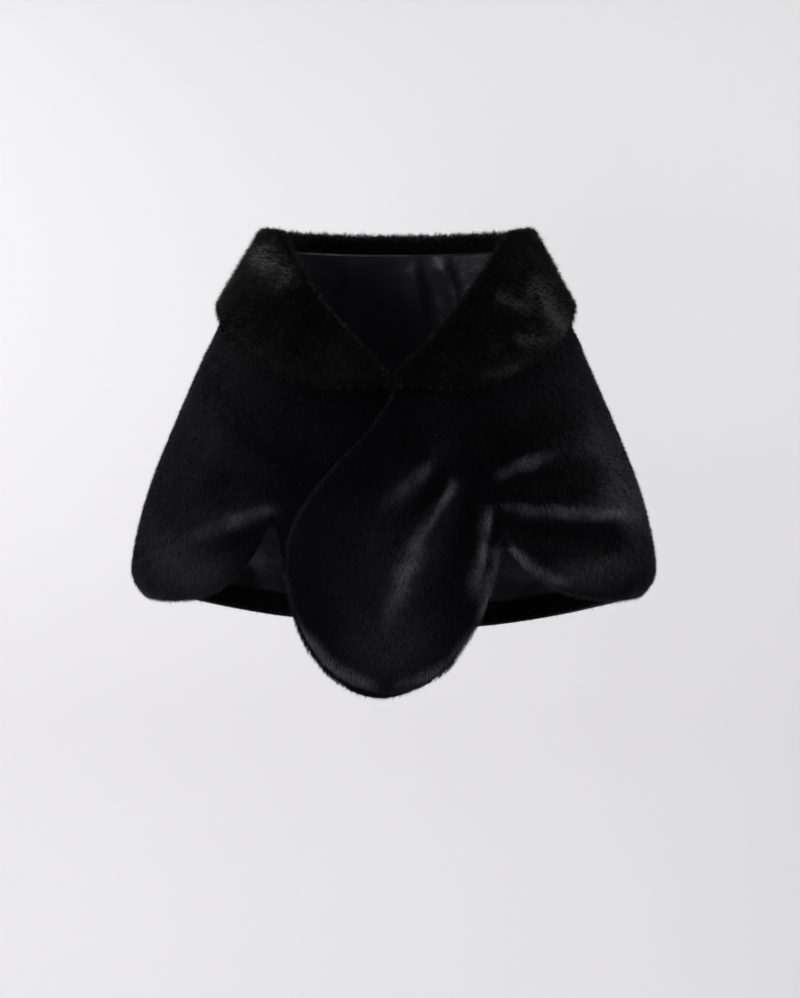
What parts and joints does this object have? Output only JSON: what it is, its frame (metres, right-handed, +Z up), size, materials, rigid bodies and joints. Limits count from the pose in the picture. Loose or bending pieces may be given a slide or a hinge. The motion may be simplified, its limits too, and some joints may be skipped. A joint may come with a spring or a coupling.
{
  "type": "faux-fur shawl cape",
  "caption": "Black faux-fur shawl cape with a wide fold-over collar, crossed fronts that end in round lappets and a satin-lined back, in its worn shape.",
  "frame": {"origin": "between the wearer's shoulders, level with the base of the neck, in the plane of the side seams", "axes": "+X to the wearer's left, -Y to the front where the lappets cross, +Z up"},
  "size_m": [0.7408, 0.3535, 0.6406],
  "materials": {
    "fur": "dense short-pile black faux fur, soft and matt with a dull sheen along the nap",
    "satin": "smooth black satin with a soft bluish highlight"
  },
  "bodies": {
    "root": {"back": "fur", "front_left": "fur", "front_right": "fur", "collar_left": "fur", "collar_right": "fur", "hem_facing": "fur", "lining_back": "satin"}
  },
  "joints": []
}
